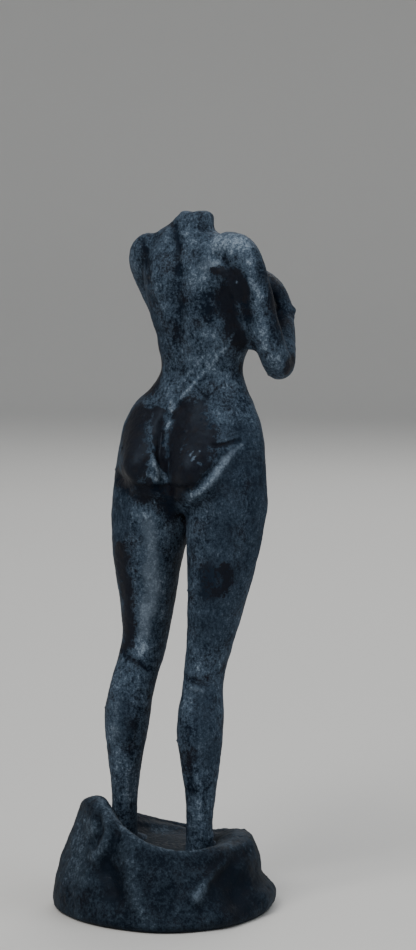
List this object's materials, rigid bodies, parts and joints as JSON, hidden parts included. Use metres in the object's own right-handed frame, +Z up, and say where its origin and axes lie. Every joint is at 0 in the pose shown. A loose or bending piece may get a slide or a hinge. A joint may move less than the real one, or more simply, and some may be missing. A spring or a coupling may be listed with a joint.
{
  "type": "figure statuette",
  "caption": "Headless standing nude figure on a hollow rock base, cast in sections that are keyed together, resting flat on a felt-padded underside.",
  "frame": {"origin": "middle of the rock's footprint, on the felt pad's flat underside", "axes": "+Z up through the figure; the figure faces -Y, so its right side is at -X"},
  "size_m": [0.0632, 0.0705, 0.2013],
  "materials": {
    "patinated_bronze": "blue-black patina, dry-brushed pale grey-blue, satin with glossy dark patches",
    "patinated_bronze_rock": "brown-black patina, dry-brushed grey-green, matt and pitted",
    "zinc_steel": "zinc-plated",
    "grey_felt": "pressed wool felt"
  },
  "bodies": {
    "root": {"torso": "patinated_bronze", "neck_plug": "patinated_bronze", "right_arm": "patinated_bronze", "left_arm": "patinated_bronze", "right_leg": "patinated_bronze", "left_leg": "patinated_bronze", "rock_base": "patinated_bronze_rock", "right_shoulder_dowel": "zinc_steel", "left_shoulder_dowel": "zinc_steel", "right_hip_dowel": "zinc_steel", "left_hip_dowel": "zinc_steel", "right_foot_stud": "zinc_steel", "left_foot_stud": "zinc_steel", "right_washer": "zinc_steel", "left_washer": "zinc_steel", "right_nut": "zinc_steel", "left_nut": "zinc_steel", "base_plate": "zinc_steel", "base_plate_screw_1": "zinc_steel", "base_plate_screw_2": "zinc_steel", "base_plate_screw_3": "zinc_steel", "felt_pad": "grey_felt"}
  },
  "joints": []
}
